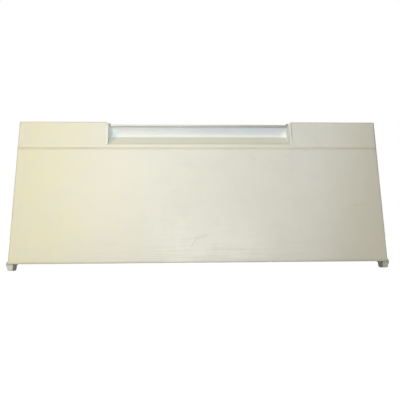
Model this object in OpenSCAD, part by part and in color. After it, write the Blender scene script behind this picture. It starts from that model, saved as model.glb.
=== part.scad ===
// Freezer compartment flap, hinged along its lower edge.
// A moulded front and a moulded inner tray meet at a parting line and close over an insulating core.
// A finger trough sits behind a notch in the top edge, and a hinge lug with its pivot at each lower corner.
// X runs across the door, the face looks towards -Y and Z points up.
// The origin lies on the hinge axis, midway between the pivots.

/* [Door] */
// Width across the face
door_w = 400; // [360:5:440]
// Height of the face, from the lower edge to the top edge
door_h = 153; // [145:1:190]
// Depth of the front moulding, from the face to the parting line
front_t = 8.5; // [7.5:0.5:12]
// Depth of the inner tray, from the parting line to its rear face
tray_t = 8.5; // [8:0.5:12]
// Wall thickness of the front and the tray
wall = 2.2; // [1.8:0.1:2.6]
// Radius along the outer edges of the face
edge_r = 2.5; // [2:0.1:3.5]
// Radius of the corners as seen from the front
corner_r = 2.5; // [1:0.5:5]
// Radius along the rear edges of the tray
tray_edge_r = 1.5; // [0.5:0.1:2.5]
// Depth of the shadow line that runs round the parting line
parting_d = 0.5; // [0.3:0.1:0.8]
// Width of the shadow line
parting_w = 0.7; // [0.4:0.1:1]

/* [Groove] */
// Distance from the top edge down to the middle of the groove
groove_drop = 31; // [30:0.5:45]
// Width of the groove
groove_w = 2.6; // [1.8:0.1:3.2]
// Depth of the groove
groove_d = 1.1; // [0.4:0.1:1.3]

/* [Grip] */
// Width of the notch at the face, between the trough's cheeks
grip_w = 203; // [140:1:260]
// Height of the notch, from the front of its lip to the top edge
grip_h = 26; // [24:0.5:29]
// How far each cheek leans in by the parting line
grip_draft = 1; // [0.5:0.25:3]
// Height that the sloped lip climbs by the parting line
lip_rise = 9.5; // [7:0.5:11]
// Radius along the front edge of the lip
grip_edge_r = 1.2; // [0.8:0.1:1.6]
// Thickness of the trough's cheeks, which line the sides of the notch
cheek_t = 1.2; // [1:0.1:1.6]
// Width of the border that each cheek lays over the face
border_w = 2.8; // [2:0.1:4]
// Height of the border above the face
border_h = 0.5; // [0.3:0.1:0.8]
// Radius along the front edges of the cheeks
border_r = 0.4; // [0.2:0.1:0.5]
// Radius of the two top corners of the notch, as seen from the front
shoulder_r = 2; // [1.5:0.25:3]
// Height of the tray's rim that shows above the trough
rim_h = 2.5; // [2.2:0.1:3.4]
// How far the rim's top lies below the top edge of the door
rim_drop = 1.3; // [0.4:0.1:1.8]
// Radius along the front edges of the rim
rim_edge_r = 0.8; // [0.5:0.1:1]
// Height of the gap between the rim and the trough
rim_gap = 0.6; // [0.4:0.1:1.2]
// Depth of the trough behind the parting line
trough_d = 4.5; // [3:0.25:4.75]
// Radius of the trough's two rear corners, as seen from above
trough_end_r = 4.4; // [2:0.1:4.5]
// Wall thickness of the trough
trough_wall = 1.6; // [1.2:0.1:1.8]
// Width of the flange round the trough
flange_w = 4; // [3:0.5:6]

/* [Inner face] */
// Height of the raised field that reaches into the compartment
plug_t = 6; // [4:0.5:10]
// Width of the flat margin round the raised field
plug_margin = 17; // [14:0.5:24]
// Corner radius of the raised field
plug_corner_r = 12; // [8:1:18]
// Radius along the edges of the raised field
plug_edge_r = 3; // [2.5:0.25:4]
// Distance between the stiffening beads on the raised field
bead_gap = 24; // [20:1:32]
// Width of a bead
bead_w = 6; // [4:0.5:8]
// Height of a bead
bead_d = 1.2; // [0.8:0.1:1.6]
// Height of the sealing ridge round the raised field
seal_h = 1.4; // [0.8:0.1:2]
// Width of the sealing ridge
seal_w = 2.4; // [1.6:0.1:3]

/* [Hinge lugs] */
// Distance from the face back to the hinge axis
axis_back = 8; // [7.5:0.25:9]
// Height of the lower edge above the hinge axis
axis_drop = 0.5; // [0:0.25:2]
// Distance that a lug stands out past the side of the door
lug_out = 0.6; // [0.3:0.1:2]
// Thickness of a lug across the door
lug_w = 6.4; // [5.4:0.1:8]
// Distance that a lug hangs below the lower edge
lug_drop = 6.7; // [6:0.1:9]
// Depth of a lug from front to back
lug_t = 10.2; // [9.5:0.1:10.6]
// Radius of the lower outer corner of a lug, as seen from the front
lug_corner_r = 2; // [1:0.1:2.5]
// Radius of the lower front and rear edges of a lug, as seen from the side
lug_toe_r = 2.6; // [1.5:0.1:3.5]
// Height at which a lug leaves the side of the door
flare_top = 11; // [7:0.5:14]
// Height at which a lug stands out in full
flare_low = 1; // [0:0.5:5]
// Size of the gusset between a lug and the lower edge
gusset = 2; // [1:0.25:4]
// Height of the tang that holds a lug inside the door
tang_h = 26; // [20:1:34]
// Thickness of the tang
tang_w = 8; // [6:0.5:10]
// Radius of a pivot
pivot_r = 3.4; // [2.5:0.1:3.6]
// Length of a pivot past the lug
pivot_len = 2.2; // [1.6:0.1:4]
// Radius round the end of a pivot
pivot_end_r = 0.8; // [0.4:0.1:1]

/* [Hidden] */
$fn = 48;
// Overlap of a cutting shape past the face that it opens
cut = 1;
// Clearance between pieces that sit inside one another
fit = 0.2;
// Radius where the walls meet inside the mouldings
inner_r = 0.6;
door_t = front_t + tray_t;
half_w = door_w / 2;
grip_half = grip_w / 2;
// Half the width of the notch at the parting line
mouth_half = grip_half - grip_draft;
// Height of the lip's front edge and of its crease at the parting line
lip_z = door_h - grip_h;
crease_z = lip_z + lip_rise;
rim_top = door_h - rim_drop;
rim_z = rim_top - rim_h;
lip_slope = lip_rise / front_t;
// The trough's section is one arc from the crease to the gap under the rim
trough_top = rim_z - rim_gap;
trough_chord = trough_top - crease_z;
trough_r = (pow(trough_chord / 2, 2) + pow(trough_d, 2)) / (2 * trough_d);
trough_z = (trough_top + crease_z) / 2;
trough_centre = front_t + trough_d - trough_r;
groove_z = door_h - groove_drop;
groove_r = (pow(groove_w / 2, 2) + pow(groove_d, 2)) / (2 * groove_d);
plug_w = door_w - 2 * plug_margin;
plug_h = door_h - 2 * plug_margin;
// A groove with its ridge runs halfway across the margin
seal_inset = plug_margin / 2;
bead_len = plug_w - 4 * plug_corner_r;
bead_r = (pow(bead_w / 2, 2) + pow(bead_d, 2)) / (2 * bead_d);
bead_count = 1 + 2 * floor((plug_h / 2 - plug_corner_r - bead_w / 2) / bead_gap);
lug_in = half_w + lug_out - lug_w;
lug_front = axis_back - lug_t / 2;
lug_back = axis_back + lug_t / 2;
tang_out = half_w - wall - fit;
tang_in = tang_out - tang_w;
core_gap = 0.4;
// Angle at which the cheeks and the sides of the notch lean
grip_lean = atan(grip_draft / front_t);
// Half the width that the notch leaves for the trough's cheeks at the face
cheek_out = grip_half + cheek_t + fit;

// Everything is drawn with the face at Y = 0 and the lower edge at Z = 0, then set on the hinge axis
module on_axis() {
    translate([0, -axis_back, axis_drop]) children();
}

// A profile in the X-Z plane, run back from depth y0 to depth y1
module front_extrude(y0, y1) {
    translate([0, y1, 0]) rotate([90, 0, 0]) linear_extrude(height = y1 - y0) children();
}

// A profile in the Y-Z plane, run across from -x to +x
module cross_extrude(x) {
    rotate([90, 0, 90]) linear_extrude(height = 2 * x, center = true) children();
}

// A rectangle with its lower left corner at the origin and one radius at every corner
module round_rect(w, h, r) {
    translate([r, 0]) square([w - 2 * r, h]);
    translate([0, r]) square([w, h - 2 * r]);
    for (x = [r, w - r], y = [r, h - r]) translate([x, y]) circle(r = r);
}

// A rectangle whose left side only is rounded, for an edge that faces one way
module nose_rect(w, h, r) {
    translate([r, 0]) square([w - r, h]);
    translate([0, r]) square([w, h - 2 * r]);
    intersection() {
        for (y = [r, h - r]) translate([r, y]) circle(r = r);
        square([w, h]);
    }
}

// A block with rounded corners and a rounded edge all round its front, centred across the door
module nosed_block(w, h, t, corner, edge) {
    intersection() {
        front_extrude(0, t) translate([-w / 2, 0]) round_rect(w, h, corner);
        cross_extrude(w) nose_rect(t, h, edge);
        linear_extrude(height = h) mirror([0, 1]) rotate(-90) translate([0, -w / 2])
            nose_rect(t, w, edge);
    }
}

// The same block with its rounded edge towards the rear, starting at depth y0
module tailed_block(w, h, t, corner, edge, y0) {
    translate([0, y0 + t, 0]) mirror([0, 1, 0]) nosed_block(w, h, t, corner, edge);
}

// The space of the notch ahead of the parting line, grown at its sides and lowered at its lip
module notch_space(side, drop) {
    fall = drop * sqrt(1 + pow(lip_slope, 2));
    lean = cut * grip_draft / front_t;
    intersection() {
        cross_extrude(half_w) polygon([
            [-cut, lip_z - cut * lip_slope - fall],
            [front_t + cut, crease_z + cut * lip_slope - fall],
            [front_t + cut, door_h + cut],
            [-cut, door_h + cut]]);
        translate([0, 0, lip_z - wall - cut]) linear_extrude(height = door_h) polygon([
            [-grip_half - side - lean, -cut],
            [grip_half + side + lean, -cut],
            [mouth_half + side - lean, front_t + cut],
            [-mouth_half - side + lean, front_t + cut]]);
    }
}

// What a round leaves of a square corner at the origin, for cutting along an edge
module corner_waste(r) {
    difference() {
        translate([-cut, -cut]) square(r + cut);
        translate([r, r]) circle(r = r);
    }
}

// Rounds cut along the front edge of the lip and at the two top corners of the notch
module notch_rounds() {
    translate([0, 0, lip_z]) mirror([0, 0, 1]) cross_extrude(cheek_out) corner_waste(grip_edge_r);
    for (side = [-1, 1]) scale([side, 1, 1]) translate([cheek_out, 0, door_h]) rotate([0, 0, grip_lean])
        front_extrude(-2 * cut, front_t + 2 * cut) mirror([0, 1]) corner_waste(shoulder_r);
}

// Openings at the lower corners that the hinge lugs pass through
module lug_openings() {
    for (side = [-1, 1]) scale([side, 1, 1])
        translate([lug_in - gusset - fit, lug_front - fit, -cut])
            cube([half_w, lug_t + 2 * fit, flare_top + fit + cut]);
}

module front_panel() {
    color("#e4dfc8") on_axis() difference() {
        union() {
            difference() {
                nosed_block(door_w, door_h, front_t, corner_r, edge_r);
                translate([0, wall, wall])
                    nosed_block(door_w - 2 * wall, door_h - 2 * wall, front_t, inner_r, inner_r);
            }
            intersection() {
                nosed_block(door_w, door_h, front_t, corner_r, edge_r);
                notch_space(cheek_t + fit + wall, wall);
            }
        }
        notch_space(cheek_t + fit, 0);
        notch_rounds();
        cross_extrude(door_w) translate([groove_d - groove_r, groove_z]) circle(r = groove_r);
        lug_openings();
    }
}

// The trough's form: one arc run across the door, with its rear corners rounded as seen from above.
// It starts ahead of the parting line by the given lead.
module trough_form(grow, lead) {
    half = mouth_half + grow;
    intersection() {
        cross_extrude(half) translate([trough_centre, trough_z]) circle(r = trough_r + grow, $fn = 96);
        linear_extrude(height = door_h) translate([0, front_t + trough_d + grow]) rotate(-90)
            translate([0, -half]) nose_rect(trough_d + grow + lead, 2 * half, trough_end_r + grow);
    }
}

// A cheek for each side of the notch, with the border that it lays over the face
module cheeks() {
    difference() {
        union() {
            intersection() {
                notch_space(cheek_t, -fit);
                translate([-half_w, 0, 0]) cube([door_w, front_t + trough_wall / 2, trough_top]);
            }
            for (side = [-1, 1]) scale([side, 1, 1])
                front_extrude(-border_h, 0) translate([grip_half - cut, lip_z])
                    square([border_w + cut, trough_top - lip_z]);
        }
        notch_space(0, wall);
        for (side = [-1, 1]) scale([side, 1, 1]) {
            translate([grip_half, -border_h, lip_z - cut]) linear_extrude(height = grip_h)
                corner_waste(border_r);
            translate([grip_half + border_w, -border_h, lip_z - cut]) mirror([1, 0, 0])
                linear_extrude(height = grip_h) corner_waste(border_r);
        }
    }
}

module finger_trough() {
    flange_half = mouth_half + flange_w;
    color("#eceadb") on_axis() {
        difference() {
            union() {
                front_extrude(front_t, front_t + trough_wall)
                    translate([-flange_half, crease_z - flange_w])
                        square([2 * flange_half, trough_chord + flange_w]);
                intersection() {
                    trough_form(trough_wall, 0);
                    linear_extrude(height = trough_top) translate([-half_w, 0]) square([door_w, door_t]);
                }
            }
            intersection() {
                trough_form(0, cut);
                front_extrude(0, door_t) translate([-half_w, crease_z]) square([door_w, trough_chord]);
            }
        }
        cheeks();
    }
}

// Outline of the raised field, or of a ring outside it
module plug_outline(grow) {
    translate([-plug_w / 2 - grow, plug_margin - grow])
        round_rect(plug_w + 2 * grow, plug_h + 2 * grow, plug_corner_r + grow);
}

// The raised field as a block, smaller all round by the given inset
module plug_block(inset, t) {
    translate([0, 0, plug_margin + inset])
        tailed_block(plug_w - 2 * inset, plug_h - 2 * inset, t, plug_corner_r - inset, plug_edge_r,
                     door_t - cut);
}

// The lowered stretch of the tray's top wall, with its rim rounded along the front
module rim() {
    half = mouth_half + flange_w;
    difference() {
        front_extrude(front_t, door_t - wall / 2) translate([-half, rim_z]) square([2 * half, rim_h]);
        cross_extrude(door_w) for (z = [rim_z, rim_top])
            translate([front_t, z]) mirror([0, z == rim_top ? 1 : 0]) corner_waste(rim_edge_r);
    }
}

module inner_tray() {
    color("#e9e8e0") on_axis() difference() {
        union() {
            difference() {
                tailed_block(door_w, door_h, tray_t, corner_r, tray_edge_r, front_t);
                translate([0, -wall, wall])
                    tailed_block(door_w - 2 * wall, door_h - 2 * wall, tray_t, inner_r, inner_r, front_t);
                front_extrude(front_t - cut, door_t + cut) translate([-mouth_half, rim_top - rim_h / 2])
                    square([2 * mouth_half, door_h]);
            }
            rim();
            plug_block(0, plug_t + cut);
            front_extrude(door_t - cut, door_t + seal_h) difference() {
                plug_outline(seal_inset + seal_w / 2);
                plug_outline(seal_inset - seal_w / 2);
            }
            for (i = [0 : bead_count - 1])
                translate([0, door_t + plug_t, door_h / 2 + (i - (bead_count - 1) / 2) * bead_gap])
                    bead();
        }
        translate([0, -wall, 0]) plug_block(wall, plug_t + cut);
        front_extrude(front_t - cut, front_t + parting_w) difference() {
            translate([-half_w - cut, -cut]) square([door_w + 2 * cut, door_h + 2 * cut]);
            translate([parting_d - half_w, parting_d])
                round_rect(door_w - 2 * parting_d, door_h - 2 * parting_d, corner_r - parting_d);
        }
        lug_openings();
    }
}

// A low stiffening bead with round ends, sunk in the raised field's wall
module bead() {
    intersection() {
        translate([0, bead_d - bead_r, 0]) {
            rotate([0, 90, 0]) cylinder(r = bead_r, h = bead_len, center = true);
            for (x = [-bead_len / 2, bead_len / 2]) translate([x, 0, 0]) sphere(r = bead_r);
        }
        translate([-half_w, -wall / 2, -bead_w]) cube([door_w, wall + bead_d, 2 * bead_w]);
    }
}

module insulation_core() {
    inset = wall + core_gap;
    color("#f4f4f0") on_axis() difference() {
        union() {
            translate([-half_w + inset, inset, inset])
                cube([door_w - 2 * inset, door_t - 2 * inset, door_h - 2 * inset]);
            translate([0, -inset, 0]) plug_block(inset, plug_t + cut);
        }
        translate([-grip_half - flange_w - core_gap, 0, lip_z - flange_w])
            cube([2 * (grip_half + flange_w + core_gap), door_t - inset + cut, door_h]);
        for (side = [-1, 1]) scale([side, 1, 1])
            translate([tang_in - core_gap, 0, 0]) cube([half_w, door_t, tang_h + core_gap + wall]);
    }
}

// A lug with its tang and pivot, on the right: its front outline meets its side outline
module hinge_lug() {
    outer = half_w + lug_out;
    on_axis() {
        intersection() {
            front_extrude(lug_front, lug_back) {
                polygon([
                    [lug_in, -lug_drop], [outer - lug_corner_r, -lug_drop], [outer, lug_corner_r - lug_drop],
                    [outer, flare_low], [half_w, flare_top], [tang_out, flare_top], [tang_out, wall + tang_h],
                    [tang_in, wall + tang_h], [tang_in, wall + fit], [lug_in - gusset, wall + fit],
                    [lug_in - gusset, 0], [lug_in, -gusset]]);
                translate([outer - lug_corner_r, lug_corner_r - lug_drop]) circle(r = lug_corner_r);
            }
            cross_extrude(door_w) translate([lug_front, -lug_drop])
                round_rect(lug_t, door_h, lug_toe_r);
        }
        translate([outer, axis_back, -axis_drop]) rotate([0, 90, 0]) {
            cylinder(r = pivot_r - pivot_end_r, h = pivot_len);
            translate([0, 0, -cut]) cylinder(r = pivot_r, h = pivot_len - pivot_end_r + cut);
            translate([0, 0, pivot_len - pivot_end_r]) rotate_extrude($fn = 64) intersection() {
                translate([pivot_r - pivot_end_r, 0]) circle(r = pivot_end_r);
                square(pivot_r);
            }
        }
    }
}

module right_hinge_lug() {
    color("#d2cfba") hinge_lug();
}

module left_hinge_lug() {
    color("#d2cfba") mirror([1, 0, 0]) hinge_lug();
}

front_panel();
finger_trough();
inner_tray();
insulation_core();
left_hinge_lug();
right_hinge_lug();
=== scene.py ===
# Freezer compartment flap: cream moulded front, finger trough, inner tray and hinge lugs
import math
import bpy
from mathutils import Matrix, Vector


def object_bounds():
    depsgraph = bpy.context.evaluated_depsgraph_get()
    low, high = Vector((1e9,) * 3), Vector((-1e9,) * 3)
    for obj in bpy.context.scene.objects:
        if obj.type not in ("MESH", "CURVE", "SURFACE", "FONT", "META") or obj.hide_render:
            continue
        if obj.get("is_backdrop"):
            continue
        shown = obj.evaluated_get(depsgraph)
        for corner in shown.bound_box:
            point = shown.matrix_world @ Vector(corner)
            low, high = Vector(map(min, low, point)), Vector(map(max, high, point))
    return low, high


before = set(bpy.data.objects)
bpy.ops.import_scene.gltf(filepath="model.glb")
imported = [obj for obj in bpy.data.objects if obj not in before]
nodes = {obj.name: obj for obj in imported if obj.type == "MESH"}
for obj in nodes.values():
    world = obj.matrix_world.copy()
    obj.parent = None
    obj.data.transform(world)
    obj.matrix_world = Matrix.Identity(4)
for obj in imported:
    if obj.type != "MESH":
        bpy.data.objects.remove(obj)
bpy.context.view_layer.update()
mm = 0.001
print("frame loaded:", sorted(nodes))


# camera: close to the lower edge, a little left of the middle, looking up across the face
cameraLook = {
    "place": (-0.0231, -0.4729, 0.0285),
    "headingRight": 2.101,  # degrees right of straight at the face
    "pitchUp": 12.738,
    "roll": -0.375,
    "focalPixels": 427.97,  # on a frame of 400 pixels
    "frameSize": 400,
    "centre": (194.15, 138.75),  # where the lens axis meets the picture
    "sensor": 36.0,
    "clipStart": 0.01,
}


def addCamera(look):
    data = bpy.data.cameras.new("photoCamera")
    data.sensor_width = look["sensor"]
    data.lens = look["focalPixels"] / look["frameSize"] * look["sensor"]
    data.shift_x = (0.5 * look["frameSize"] - look["centre"][0]) / look["frameSize"]
    data.shift_y = (look["centre"][1] - 0.5 * look["frameSize"]) / look["frameSize"]
    data.clip_start = look["clipStart"]
    camera = bpy.data.objects.new("photoCamera", data)
    bpy.context.scene.collection.objects.link(camera)
    upright = Matrix.Rotation(math.radians(90 + look["pitchUp"]), 4, "X")
    heading = Matrix.Rotation(math.radians(-look["headingRight"]), 4, "Z")
    roll = Matrix.Rotation(math.radians(look["roll"]), 4, "Z")
    camera.matrix_world = Matrix.Translation(look["place"]) @ heading @ upright @ roll
    bpy.context.scene.camera = camera
    print("camera placed")


addCamera(cameraLook)


# shader maths: a Sock stands for a node's output, and an expression on it adds the Math nodes
class Sock:
    def __init__(self, tree, output):
        self.tree = tree
        self.output = output

    # any other node: its type, its settings, the values or links of its sockets, and the output wanted
    def add(self, kind, settings=None, sockets=None, output=0):
        node = self.tree.nodes.new("ShaderNode" + kind)
        for key, value in (settings or {}).items():
            setattr(node, key, value)
        for key, value in (sockets or {}).items():
            if isinstance(value, Sock):
                self.tree.links.new(value.output, node.inputs[key])
            else:
                node.inputs[key].default_value = value
        return Sock(self.tree, node.outputs[output])

    def maths(self, operation, *values):
        return self.add("Math", {"operation": operation}, dict(enumerate(values)))

    def __add__(self, other):
        return self.maths("ADD", self, other)

    def __radd__(self, other):
        return self.maths("ADD", other, self)

    def __sub__(self, other):
        return self.maths("SUBTRACT", self, other)

    def __rsub__(self, other):
        return self.maths("SUBTRACT", other, self)

    def __mul__(self, other):
        return self.maths("MULTIPLY", self, other)

    def __rmul__(self, other):
        return self.maths("MULTIPLY", other, self)

    def __abs__(self):
        return self.maths("ABSOLUTE", self)

    def least(self, other):
        return self.maths("MINIMUM", self, other)

    def most(self, other):
        return self.maths("MAXIMUM", self, other)

    # 1 past the value and 0 before it
    def beyond(self, value):
        return self.maths("GREATER_THAN", self, value)

    # 0 at the first value and 1 at the second, with a soft start and end
    def fade(self, start, end):
        return self.add(
            "MapRange", {"interpolation_type": "SMOOTHSTEP"},
            {"Value": self, "From Min": start, "From Max": end},
        )

    # 1 within the half width of a line, and 0 once the soft border is passed
    def band(self, centre, halfWidth, soft):
        return 1 - abs(self - centre).fade(halfWidth, halfWidth + soft)

    # the socket is a mask between two colours, each a Sock or plain
    def blend(self, colourA, colourB):
        colourA, colourB = [c if isinstance(c, Sock) else (*c, 1) for c in (colourA, colourB)]
        return self.add("Mix", {"data_type": "RGBA"}, {0: self, 6: colourA, 7: colourB}, 2)

    # the socket is a place: its three axes, a pattern stretched along them, and a noise
    def axes(self):
        return [self.add("SeparateXYZ", None, {0: self}, i) for i in range(3)]

    def stretched(self, scale):
        return self.add("Mapping", None, {"Vector": self, "Scale": scale})

    def noise(self, scale, detail, roughness):
        return self.add("TexNoise", None, {
            "Vector": self, "Scale": scale, "Detail": detail, "Roughness": roughness,
        })

    # the socket is a height in metres
    def bump(self):
        return self.add("Bump", None, {"Height": self, "Distance": 1.0})


# a new material with its shader, and the object coordinates as a Sock
def startMaterial(name):
    material = bpy.data.materials.new(name)
    material.use_nodes = True
    shader = material.node_tree.nodes["Principled BSDF"]
    place = Sock(material.node_tree, None).add("TexCoord", None, None, "Object")
    return material, shader, place


def plug(shader, sockets):
    for key, value in sockets.items():
        if isinstance(value, Sock):
            value.tree.links.new(value.output, shader.inputs[key])
        else:
            shader.inputs[key].default_value = value


# the door's edges and seams, in metres in the part's own frame
doorSizes = {
    "halfWidth": 200 * mm,
    "bottom": 0.5 * mm,
    "top": 153.5 * mm,
    "groove": 122.5 * mm,  # height of the groove
    "lip": 127.5 * mm,  # height of the lip's front edge
    "notchHalf": 102.7 * mm,
    "face": -8 * mm,
    "parting": 0.5 * mm,  # depth of the parting line
}


# distance to the nearest straight line of the outline, seen from the front
def outlineDistance(x, z, sizes):
    side = sizes["halfWidth"] - abs(x)
    low = z - sizes["bottom"]
    high = sizes["top"] - z
    return side.least(low.least(high))


# in every look: a noise is its scale, detail and roughness; three lengths are a band's middle, half
# width and soft border; two lengths are where a fade starts and ends
frontLook = {
    "fresh": (0.805, 0.780, 0.680),
    "roughness": 0.44,
    "specular": 0.30,
    "cloud": (9, 3, 0.55),
    "mottle": (55, 4, 0.6),
    "fine": (420, 3, 0.6),
    "streak": (1, 3, 0.6),
    "streakStretch": (14, 14, 620),  # fine wiping marks along the face
    "aged": (0.800, 0.728, 0.490),  # yellower towards the left
    "agedAcross": (-30 * mm, -190 * mm),
    "agedMost": 0.80,
    "agedCloud": (0.75, 0.50),  # evenly, and with the clouds
    # painted shade with some yellowing: darker and yellower towards the right, where the lamps fall off
    "shadeAndAgeRight": (0.700, 0.640, 0.500),
    "shadeAndAgeRightAcross": (115 * mm, 205 * mm),
    "shadeAndAgeRightLean": 0.24,
    "shadeAndAgeRightHeight": 80 * mm,  # below it the painted shade leans further in from the right
    "shadeAndAgeRightMost": 0.72,
    "paintedSheen": (0.915, 0.888, 0.795),  # a painted sheen, lighter low in the middle
    "paintedSheenAcross": (10 * mm, 28 * mm, 52 * mm),
    "paintedSheenUp": (6 * mm, 78 * mm),
    "paintedSheenMost": 0.74,
    "dull": (0.745, 0.725, 0.635),  # greyer clouds, mottle and streaks
    "cloudFade": (0.45, 0.75),
    "cloudMost": 0.35,
    "mottleFade": (0.42, 0.72),
    "mottleMost": 0.32,
    "streakFade": (0.46, 0.66),
    "streakMost": (0.10, 0.55),  # everywhere, and near the bottom besides
    "streakUp": (4 * mm, 34 * mm),
    "lipUp": (-0.6 * mm, 0),  # from the lip's front edge
    "lipSide": 2 * mm,
    "lipShadeTint": (0.690, 0.640, 0.485),  # painted shade and warm light: the sloped lip darker and yellower, most so at its front
    "lipShadeTinted": 0.62,
    "lipFront": 1.25,
    "lipFall": 50,
    "lipShade": (0.420, 0.470, 0.460),  # the shaded left end of the lip
    "lipShaded": 0.50,
    "lipShadeAt": 99.5 * mm,
    "lipShadeLean": 0.83,
    "lipShadeSoft": 0.9 * mm,
    # the colour of the painted shade in the groove, along edges and seams, and of the darker scuffs
    "grimeAndShade": (0.330, 0.300, 0.235),
    "shadeMottle": (0.55, 0.90),  # evenly, and with the mottle
    "grooveWide": (0.5 * mm, 1.0 * mm),  # half width and soft border
    "grooveShade": 0.12,
    "edgeWide": (0.2 * mm, 3.2 * mm),
    "seamWide": 1.6 * mm,
    "edgeShadeAndGrime": 0.16,
    "borderLine": (104.3 * mm, 0.1 * mm, 0.35 * mm),  # beside the notch's borders
    "borderUp": (1 * mm, 12 * mm),
    "borderShade": (0.10, 0.45),  # at both sides, and at the right besides
    "cornerAcross": (197.4 * mm, 199.2 * mm),  # painted shade on the upper right edge
    "cornerUp": (70 * mm, 150 * mm),
    "cornerShade": 0.60,
    "rubbed": (0.880, 0.870, 0.820),  # the lighter scuffs
    "faceDeep": (0.3 * mm, 0.3 * mm),  # half width and soft border of the face's own depth
    # turned in degrees, and lighter than the face where the strength is below 0
    "scuffs": [
        {"place": (-0.0078, 0.0200), "turn": 53, "length": 0.008, "width": 0.0012,
         "bend": 20, "waver": 0.002, "strength": 0.14},
        {"place": (0.0006, 0.0268), "turn": 16, "length": 0.014, "width": 0.0026,
         "bend": 8, "waver": 0.004, "strength": 0.12},
        {"place": (-0.0085, 0.0254), "turn": 4, "length": 0.008, "width": 0.0015,
         "bend": 0, "waver": 0.003, "strength": 0.05},
        {"place": (-0.0028, 0.0198), "turn": 67, "length": 0.006, "width": 0.0011,
         "bend": 10, "waver": 0.002, "strength": 0.11},
        {"place": (0.0010, 0.0212), "turn": 30, "length": 0.014, "width": 0.0040,
         "bend": 20, "waver": 0.004, "strength": -0.04},
        {"place": (-0.0321, 0.0794), "turn": 10, "length": 0.010, "width": 0.0024,
         "bend": 0, "waver": 0.006, "strength": -0.12},
        {"place": (0.0059, 0.0707), "turn": 70, "length": 0.012, "width": 0.0032,
         "bend": 0, "waver": 0.008, "strength": -0.12},
        {"place": (0.0586, 0.1124), "turn": -35, "length": 0.010, "width": 0.0024,
         "bend": 10, "waver": 0.006, "strength": 0.05},
        {"place": (0.0978, 0.1147), "turn": 20, "length": 0.012, "width": 0.0022,
         "bend": 0, "waver": 0.005, "strength": 0.05},
        {"place": (0.1752, 0.0600), "turn": 2, "length": 0.014, "width": 0.0018,
         "bend": 0, "waver": 0.004, "strength": 0.06},
    ],
    "scuffWide": (0.25, 1.0),  # shares of the width: half width and soft border
    "scuffLong": (0.35, 0.25),  # shares of the length, the same way
    "roughMottle": 0.10,
    "roughFine": 0.06,
    "roughScuffed": 0.8,
    "roughGrimy": 0.5,
    "grain": (2600, 2, 0.6),
    "grainDepth": 0.012 * mm,
    "wave": (16, 1, 0.4),
    "waveDepth": 0.16 * mm,
    "streakDepth": 0.01 * mm,
}


# the moulding's own colour, with a painted sheen low in the middle and painted shade towards the right
def frontColour(look, x, z, cloud, mottle, streaks):
    evenly, clouded = look["agedCloud"]
    aged = x.fade(*look["agedAcross"]) * look["agedMost"] * (evenly + cloud * clouded)
    colour = aged.blend(look["fresh"], look["aged"])
    # a painted sheen low in the middle
    paintedSheen = x.band(*look["paintedSheenAcross"]) * (1 - z.fade(*look["paintedSheenUp"])) * look["paintedSheenMost"]
    colour = paintedSheen.blend(colour, look["paintedSheen"])
    everywhere, below = look["streakMost"]
    streaked = streaks.fade(*look["streakFade"]) * (everywhere + (1 - z.fade(*look["streakUp"])) * below)
    dull = cloud.fade(*look["cloudFade"]) * look["cloudMost"]
    dull = dull + mottle.fade(*look["mottleFade"]) * look["mottleMost"]
    colour = (dull + streaked).blend(colour, look["dull"])
    # painted shade with some yellowing towards the right
    right = x + (look["shadeAndAgeRightHeight"] - z) * look["shadeAndAgeRightLean"]
    right = right.fade(*look["shadeAndAgeRightAcross"]) * look["shadeAndAgeRightMost"]
    return right.blend(colour, look["shadeAndAgeRight"])


# painted shade and warm light on the lip in front of the notch, over that colour
def lipColour(look, sizes, x, z, colour):
    up = z - sizes["lip"]
    past = abs(x).fade(sizes["notchHalf"] - look["lipSide"], sizes["notchHalf"])
    lip = up.fade(*look["lipUp"]) * (1 - past)
    shadeTinted = lip * (look["lipFront"] - up * look["lipFall"]) * look["lipShadeTinted"]
    colour = shadeTinted.blend(colour, look["lipShadeTint"])
    shade = (up * look["lipShadeLean"] - x - look["lipShadeAt"]).fade(0, look["lipShadeSoft"])
    return (lip * shade * look["lipShaded"]).blend(colour, look["lipShade"])


# painted shade in the groove, along the outline, the parting line and the notch's borders, and at the
# upper right, mottled like dirt
def frontShadeAndGrime(look, sizes, x, y, z, mottle):
    groove = z.band(sizes["groove"], *look["grooveWide"]) * look["grooveShade"]
    outline = 1 - outlineDistance(x, z, sizes).fade(*look["edgeWide"])
    seam = y.fade(sizes["parting"] - look["seamWide"], sizes["parting"])
    evenly, mottled = look["shadeMottle"]
    shadeMottle = (groove + (outline + seam) * look["edgeShadeAndGrime"]) * (evenly + mottle * mottled)
    both, right = look["borderShade"]
    border = abs(x).band(*look["borderLine"]) * (z - sizes["lip"]).fade(*look["borderUp"])
    corner = x.fade(*look["cornerAcross"]) * z.fade(*look["cornerUp"]) * look["cornerShade"]
    return shadeMottle + border * (both + x.beyond(0) * right) + corner


# a scuff: a soft streak along a slightly bent line on the face
def scuffMask(look, x, z, warp, mark):
    turn = math.radians(mark["turn"])
    dx = x - mark["place"][0]
    dz = z - mark["place"][1]
    along = dx * math.cos(turn) + dz * math.sin(turn)
    across = dz * math.cos(turn) - dx * math.sin(turn) + along * along * mark["bend"]
    across = across + (warp - 0.5) * mark["waver"]
    streak = across.band(0, *[mark["width"] * share for share in look["scuffWide"]])
    reach = along.band(0, *[mark["length"] * share for share in look["scuffLong"]])
    return streak * reach * mark["strength"]


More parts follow.
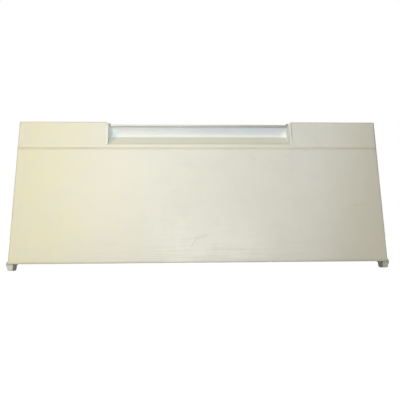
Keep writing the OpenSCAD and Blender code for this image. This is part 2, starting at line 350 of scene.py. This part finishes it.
def frontPlastic(look, sizes):
    material, shader, place = startMaterial("frontPlastic")
    x, y, z = place.axes()
    cloud, mottle, fine = [place.noise(*look[name]) for name in ("cloud", "mottle", "fine")]
    streaks = place.stretched(look["streakStretch"]).noise(*look["streak"])
    colour = lipColour(look, sizes, x, z, frontColour(look, x, z, cloud, mottle, streaks))
    grimeAndShade = frontShadeAndGrime(look, sizes, x, y, z, mottle)
    scuffs = sum(scuffMask(look, x, z, mottle, mark) for mark in look["scuffs"])
    scuffs = scuffs * y.band(sizes["face"], *look["faceDeep"])
    # painted shade and the darker scuffs
    colour = (grimeAndShade + scuffs.most(0)).blend(colour, look["grimeAndShade"])
    colour = (0 - scuffs.least(0)).blend(colour, look["rubbed"])
    roughness = look["roughness"] + (mottle - 0.5) * look["roughMottle"]
    roughness = roughness + (fine - 0.5) * look["roughFine"]
    grain = place.noise(*look["grain"]) * look["grainDepth"]
    wave = place.noise(*look["wave"]) * look["waveDepth"]
    plug(shader, {
        "Base Color": colour, "Specular IOR Level": look["specular"],
        "Roughness": roughness + abs(scuffs) * look["roughScuffed"] + grimeAndShade * look["roughGrimy"],
        "Normal": (grain + wave + (streaks - 0.5) * look["streakDepth"]).bump(),
    })
    return material


troughLook = {
    "roughness": 0.30,
    "specular": 0.45,
    "cloud": (22, 3, 0.55),
    "fine": (300, 3, 0.6),
    "upperReflection": (0.765, 0.782, 0.775),  # painted reflection and shade: the arc's upper part a cool white, cooler at the right
    "upperReflectionRight": (0.740, 0.775, 0.820),
    "upperReflectionAcross": (-60 * mm, 30 * mm),
    # painted light: the arc's lower part a warm bright white
    "lower": (0.900, 0.885, 0.740),
    "lowerUp": (139.3 * mm, 142.8 * mm),
    "lowerUneven": 1.5 * mm,
    # painted shade on the cheeks near the face and on the right cheek, painted light deeper in
    "cheekShadedFront": (0.620, 0.660, 0.645),
    "cheekLitDeep": (0.880, 0.920, 0.900),
    "cheekIn": (-6.2 * mm, -3.6 * mm),
    "cheekShadeRight": (0.725, 0.725, 0.660),
    "end": ((0.640, 0.695, 0.695), (0.790, 0.850, 0.845)),  # painted shade on the arc's left end, low and high
    "endIn": (0.2 * mm, 1.4 * mm),
    "endAcross": (90.5 * mm, 97 * mm),
    # painted highlight low on the arc's right end, painted shade higher up
    "endRightLightAndShade": ((0.940, 0.940, 0.880), (0.745, 0.775, 0.760)),
    "endRightIn": (0.2 * mm, 1.2 * mm),
    "endRightAcross": (92 * mm, 98 * mm),
    "endUp": (140.0 * mm, 146.5 * mm),  # where the ends pass from low to high
    "border": (0.800, 0.790, 0.640),  # the borders on the face have yellowed with the front
    "borderIn": (-8.02 * mm, -7.52 * mm),
    # the colour of the painted shade under the rim and along the borders
    "grimeAndShade": (0.340, 0.335, 0.300),
    "shadeCloud": (0.6, 0.8),  # evenly, and with the clouds
    "rimSeam": (148.2 * mm, 149.1 * mm),  # where the trough meets the rim
    "edgeWide": 1.6 * mm,
    "edgeIn": (-5.6 * mm, 0.9 * mm, 1.2 * mm),
    "seamShade": 0.16,
    "lineAcross": (103.5 * mm, 103.8 * mm),  # the right border's outer edge
    "lineUp": (1 * mm, 12 * mm),
    "lineShade": 0.8,
    "cornerShadow": (0.090, 0.088, 0.080),  # painted shadow in the upper corners
    "cornerShadowAcross": (101.7 * mm, 1.0 * mm, 0.7 * mm),
    "cornerShadowUp": (149.3 * mm, 150.3 * mm),
    "cornerShadowMost": 0.65,
    "roughFine": 0.08,
    "roughGrimy": 0.4,
    "grain": (2200, 2, 0.5),
    "grainDepth": 0.006 * mm,
}


def troughPlastic(look, sizes):
    material, shader, place = startMaterial("troughPlastic")
    x, y, z = place.axes()
    cloud, fine = [place.noise(*look[name]) for name in ("cloud", "fine")]
    # painted reflection on the arc's upper part and painted light on its lower part
    upperReflection = x.fade(*look["upperReflectionAcross"]).blend(look["upperReflection"], look["upperReflectionRight"])
    above = (z + (cloud - 0.5) * look["lowerUneven"]).fade(*look["lowerUp"])
    colour = above.blend(look["lower"], upperReflection)
    # painted light and shade on the cheeks and the arc's ends
    high = z.fade(*look["endUp"])
    cheekShade = y.fade(*look["cheekIn"]).blend(look["cheekShadedFront"], look["cheekLitDeep"])
    left = y.fade(*look["endIn"]).blend(cheekShade, high.blend(*look["end"]))
    colour = (0 - x).fade(*look["endAcross"]).blend(colour, left)
    right = y.fade(*look["endRightIn"]).blend(look["cheekShadeRight"], high.blend(*look["endRightLightAndShade"]))
    colour = x.fade(*look["endRightAcross"]).blend(colour, right)
    border = 1 - y.fade(*look["borderIn"])
    colour = border.blend(colour, look["border"])
    # painted shade under the rim, behind the borders' edges, along the right border and in the upper
    # corners
    edge = abs(x).fade(sizes["notchHalf"] - look["edgeWide"], sizes["notchHalf"])
    edge = edge * y.band(*look["edgeIn"])
    grimeAndShade = z.fade(*look["rimSeam"]).most(edge) * look["seamShade"]
    evenly, clouded = look["shadeCloud"]
    colour = (grimeAndShade * (evenly + cloud * clouded)).blend(colour, look["grimeAndShade"])
    line = border * x.fade(*look["lineAcross"]) * (z - sizes["lip"]).fade(*look["lineUp"])
    colour = (line * look["lineShade"]).blend(colour, look["grimeAndShade"])
    cornerShadow = abs(x).band(*look["cornerShadowAcross"]) * z.fade(*look["cornerShadowUp"]) * (1 - border)
    colour = (cornerShadow * look["cornerShadowMost"]).blend(colour, look["cornerShadow"])
    plug(shader, {
        "Base Color": colour, "Specular IOR Level": look["specular"],
        "Roughness": look["roughness"] + (fine - 0.5) * look["roughFine"] + grimeAndShade * look["roughGrimy"],
        "Normal": (place.noise(*look["grain"]) * look["grainDepth"]).bump(),
    })
    return material


trayLook = {
    "colour": (0.790, 0.785, 0.730),
    "roughness": 0.40,
    "specular": 0.45,
    "cloud": (11, 3, 0.55),
    "mottle": (70, 4, 0.6),
    "aged": (0.770, 0.735, 0.610),
    "agedFade": (0.40, 0.75),
    "agedMost": 0.6,
    "grimeAndShade": (0.360, 0.345, 0.300),
    "grimeMottle": (0.4, 1.1),  # evenly, and with the mottle
    "plugHalf": (183 * mm, 59.5 * mm),  # half sizes of the raised field
    "plugMiddle": 77 * mm,
    "footWide": (0.4 * mm, 3.0 * mm),  # half width and soft border
    "seamWide": 1.6 * mm,
    "seamShare": 0.8,
    "outlineWide": (0.2 * mm, 3.0 * mm),
    "outlineShare": 0.5,
    "edgeShadeAndGrime": 0.22,
    "rimUp": (149.4 * mm, 149.7 * mm),
    "rimIn": (1.8 * mm, 4.0 * mm),
    "rimAcross": (103 * mm, 105 * mm),
    "rimShade": (0.380, 0.380, 0.350),  # painted shade: the rim darker towards the right
    "rimShadeAcross": (-40 * mm, 100 * mm),
    "rimShaded": 0.62,
    "cornerShadow": (0.090, 0.088, 0.080),  # painted shadow at the rim's ends, in the notch's corners
    "cornerShadowAcross": (101.8 * mm, 0.5 * mm, 0.6 * mm),
    "cornerShadowMost": 0.65,
    "roughMottle": 0.12,
    "roughGrimy": 0.4,
    "grain": (2400, 2, 0.5),
    "grainDepth": 0.012 * mm,
    "wave": (18, 1, 0.5),
    "waveDepth": 0.12 * mm,
}


def trayPlastic(look, sizes):
    material, shader, place = startMaterial("trayPlastic")
    x, y, z = place.axes()
    cloud, mottle = [place.noise(*look[name]) for name in ("cloud", "mottle")]
    colour = (cloud.fade(*look["agedFade"]) * look["agedMost"]).blend(look["colour"], look["aged"])
    # darker round the foot of the raised field, along the parting line and along the outline
    side = abs(x) - look["plugHalf"][0]
    tall = abs(z - look["plugMiddle"]) - look["plugHalf"][1]
    foot = side.most(tall).band(0, *look["footWide"])
    seam = 1 - y.fade(sizes["parting"], sizes["parting"] + look["seamWide"])
    outline = 1 - outlineDistance(x, z, sizes).fade(*look["outlineWide"])
    evenly, mottled = look["grimeMottle"]
    grimeAndShade = foot + seam * look["seamShare"] + outline * look["outlineShare"]
    grimeAndShade = grimeAndShade * look["edgeShadeAndGrime"] * (evenly + mottle * mottled)
    colour = grimeAndShade.blend(colour, look["grimeAndShade"])
    # painted shade on the rim towards the right, and a painted shadow at its ends
    rim = z.fade(*look["rimUp"]) * (1 - y.fade(*look["rimIn"]))
    rim = rim * (1 - abs(x).fade(*look["rimAcross"]))
    colour = (rim * x.fade(*look["rimShadeAcross"]) * look["rimShaded"]).blend(colour, look["rimShade"])
    colour = (rim * abs(x).band(*look["cornerShadowAcross"]) * look["cornerShadowMost"]).blend(colour, look["cornerShadow"])
    grain = place.noise(*look["grain"]) * look["grainDepth"]
    wave = place.noise(*look["wave"]) * look["waveDepth"]
    roughness = look["roughness"] + (mottle - 0.5) * look["roughMottle"]
    plug(shader, {
        "Base Color": colour, "Specular IOR Level": look["specular"],
        "Roughness": roughness + grimeAndShade * look["roughGrimy"], "Normal": (grain + wave).bump(),
    })
    return material


lugLook = {
    "colour": (0.745, 0.725, 0.620),
    "roughness": 0.50,
    "specular": 0.22,
    "cloud": (130, 3, 0.6),
    "worn": (0.600, 0.590, 0.520),
    "wornFade": (0.40, 0.75),
    "wornMost": 0.6,
    "hangingUp": (-0.6 * mm, 1.0 * mm),  # from the door's bottom edge
    "rightLugShade": (0.430, 0.445, 0.400),  # painted shade on the right lug's hanging part
    "rightLugShaded": 0.38,
    "fresh": (0.810, 0.795, 0.700),  # painted light: the flares beside the door lighter than the hanging part
    "flareLit": 0.85,
    "grimeAndShade": (0.080, 0.076, 0.064),
    "shadeCloud": (0.75, 0.40),  # evenly, and with the clouds
    "innerAcross": (194.0 * mm, 195.4 * mm),  # the inner face, which carries painted shade
    "innerShade": 0.90,
    "underUp": (-1.8 * mm, 0.2 * mm),
    "underShade": 0.40,
    "shadeMost": 0.97,
    "roughCloud": 0.15,
    "grain": (1800, 2, 0.5),
    "grainDepth": 0.02 * mm,
}


def lugPlastic(look, sizes):
    material, shader, place = startMaterial("lugPlastic")
    x, y, z = place.axes()
    up = z - sizes["bottom"]
    cloud = place.noise(*look["cloud"])
    colour = (cloud.fade(*look["wornFade"]) * look["wornMost"]).blend(look["colour"], look["worn"])
    hanging = 1 - up.fade(*look["hangingUp"])
    # painted shade on the right lug's hanging part
    colour = (x.beyond(0) * hanging * look["rightLugShaded"]).blend(colour, look["rightLugShade"])
    # painted light on the flares
    colour = ((1 - hanging) * look["flareLit"]).blend(colour, look["fresh"])
    # painted shade on the inner faces and under the door
    inner = 1 - abs(x).fade(*look["innerAcross"])
    grimeAndShade = inner * look["innerShade"] + up.fade(*look["underUp"]) * look["underShade"]
    evenly, clouded = look["shadeCloud"]
    colour = (grimeAndShade.least(look["shadeMost"]) * (evenly + cloud * clouded)).blend(colour, look["grimeAndShade"])
    plug(shader, {
        "Base Color": colour, "Specular IOR Level": look["specular"],
        "Roughness": look["roughness"] + (cloud - 0.5) * look["roughCloud"],
        "Normal": (place.noise(*look["grain"]) * look["grainDepth"]).bump(),
    })
    return material


foamLook = {
    "colour": (0.900, 0.900, 0.870),
    "between": (0.700, 0.700, 0.670),
    "beadScale": 330,
    "beadFade": (0.0, 0.25),
    "beadDepth": 0.25 * mm,
    "roughness": 0.9,
}


def foamBeads(look):
    material, shader, place = startMaterial("foamBeads")
    cells = place.add(
        "TexVoronoi", {"feature": "DISTANCE_TO_EDGE"},
        {"Vector": place, "Scale": look["beadScale"]},
    )
    bead = cells.fade(*look["beadFade"])
    plug(shader, {
        "Base Color": bead.blend(look["between"], look["colour"]),
        "Roughness": look["roughness"], "Normal": (bead * look["beadDepth"]).bump(),
    })
    return material


plastics = {
    "front_panel": frontPlastic(frontLook, doorSizes),
    "finger_trough": troughPlastic(troughLook, doorSizes),
    "inner_tray": trayPlastic(trayLook, doorSizes),
    "insulation_core": foamBeads(foamLook),
    "left_hinge_lug": lugPlastic(lugLook, doorSizes),
}
plastics["right_hinge_lug"] = plastics["left_hinge_lug"]
print("plastics mixed:", len(plastics))


# the moulded nodes shade smoothly along their rounds and keep their flats and corners
smoothing = {"weld": 0.002 * mm, "splitAngle": 32, "flatWeight": 80}


def smoothNode(node, look):
    for polygon in node.data.polygons:
        polygon.use_smooth = True
    weld = node.modifiers.new("weld", "WELD")
    weld.merge_threshold = look["weld"]
    split = node.modifiers.new("split", "EDGE_SPLIT")
    split.split_angle = math.radians(look["splitAngle"])
    weighted = node.modifiers.new("weighted", "WEIGHTED_NORMAL")
    weighted.mode = "FACE_AREA"
    weighted.weight = look["flatWeight"]
    weighted.keep_sharp = True


for name, material in plastics.items():
    nodes[name].data.materials.clear()
    nodes[name].data.materials.append(material)
    smoothNode(nodes[name], smoothing)
print("nodes dressed")


# floor, world and lamps: plain and soft, warmer and nearer on the left
stageLook = {
    "floorDrop": 0.5 * mm,  # below the lugs
    "floorSize": 8.0,
    "floorColour": (0.78, 0.78, 0.77),
    "floorRoughness": 0.8,
    "floorShown": (0.76, 0.22),  # share of plain white the camera sees: everywhere, and far off besides
    "shownAway": (0.45, 2.2),
    "shownStrength": 1.17,
    "worldColour": (0.93, 0.97, 1.0),
    "worldStrength": 0.14,
    "white": (1.0, 1.0, 1.0),
}


# 1 for what the camera sees, straight or in a reflection, and 0 for light on its way
def seenRay(start):
    kinds = ("Camera", "Glossy", "Transmission")
    camera, glossy, clear = [start.add("LightPath", None, None, f"Is {kind} Ray") for kind in kinds]
    return camera.most(glossy).most(clear)


def addFloor(look):
    bpy.ops.object.select_all(action="DESELECT")
    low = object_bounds()[0][2] - look["floorDrop"]
    bpy.ops.mesh.primitive_plane_add(size=look["floorSize"], location=(0, 0, low))
    floor = bpy.context.active_object
    floor.name = "floor"
    material, shader, place = startMaterial("floorPaper")
    plug(shader, {"Base Color": (*look["floorColour"], 1), "Roughness": look["floorRoughness"]})
    tree = material.node_tree
    away = place.add("VectorMath", {"operation": "LENGTH"}, {0: place}, 1).fade(*look["shownAway"])
    everywhere, far = look["floorShown"]
    shown = seenRay(place) * (everywhere + away * far)
    glow = place.add("Emission", None, {"Color": (*look["white"], 1), "Strength": look["shownStrength"]})
    mixed = place.add("MixShader", None, {0: shown, 1: Sock(tree, shader.outputs[0]), 2: glow})
    tree.links.new(mixed.output, tree.nodes["Material Output"].inputs["Surface"])
    floor.data.materials.append(material)
    floor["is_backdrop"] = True


def addWorld(look):
    world = bpy.data.worlds.new("studio")
    bpy.context.scene.world = world
    world.use_nodes = True
    seen = seenRay(Sock(world.node_tree, None))
    plug(world.node_tree.nodes["Background"], {
        "Color": seen.blend(look["worldColour"], look["white"]),
        "Strength": look["worldStrength"] + seen * (1 - look["worldStrength"]),
    })


lamps = {
    "keyLeft": {"place": (-0.14, -0.45, 0.12), "aim": (-0.10, 0, 0.08), "size": (0.25, 0.25),
                "watts": 1.00, "colour": (1.0, 0.965, 0.87)},
    "upperSoft": {"place": (-0.10, -0.30, 0.60), "aim": (-0.10, 0, 0.08), "size": (0.50, 0.30),
                  "watts": 1.65, "colour": (0.79, 0.88, 1.0)},
    "backLeft": {"place": (-1.2, 0.9, 0.7), "aim": (0, 0, 0.08), "size": (0.9, 0.9),
                 "watts": 10.5, "colour": (1.0, 0.98, 0.94)},
    "backRight": {"place": (1.1, 0.7, 0.5), "aim": (0, 0, 0.08), "size": (0.9, 0.7),
                  "watts": 7.5, "colour": (0.97, 0.98, 1.0)},
}


def addLamp(name, look):
    data = bpy.data.lights.new(name, "AREA")
    data.shape = "RECTANGLE"
    data.size, data.size_y = look["size"]
    data.energy = look["watts"]
    data.color = look["colour"]
    lamp = bpy.data.objects.new(name, data)
    bpy.context.scene.collection.objects.link(lamp)
    direction = Vector(look["aim"]) - Vector(look["place"])
    turned = direction.to_track_quat("-Z", "Y").to_matrix().to_4x4()
    lamp.matrix_world = Matrix.Translation(look["place"]) @ turned


addFloor(stageLook)
addWorld(stageLook)
for name, look in lamps.items():
    addLamp(name, look)
bpy.context.scene.view_settings.view_transform = "Standard"
print("stage and lamps set")

bpy.context.view_layer.update()
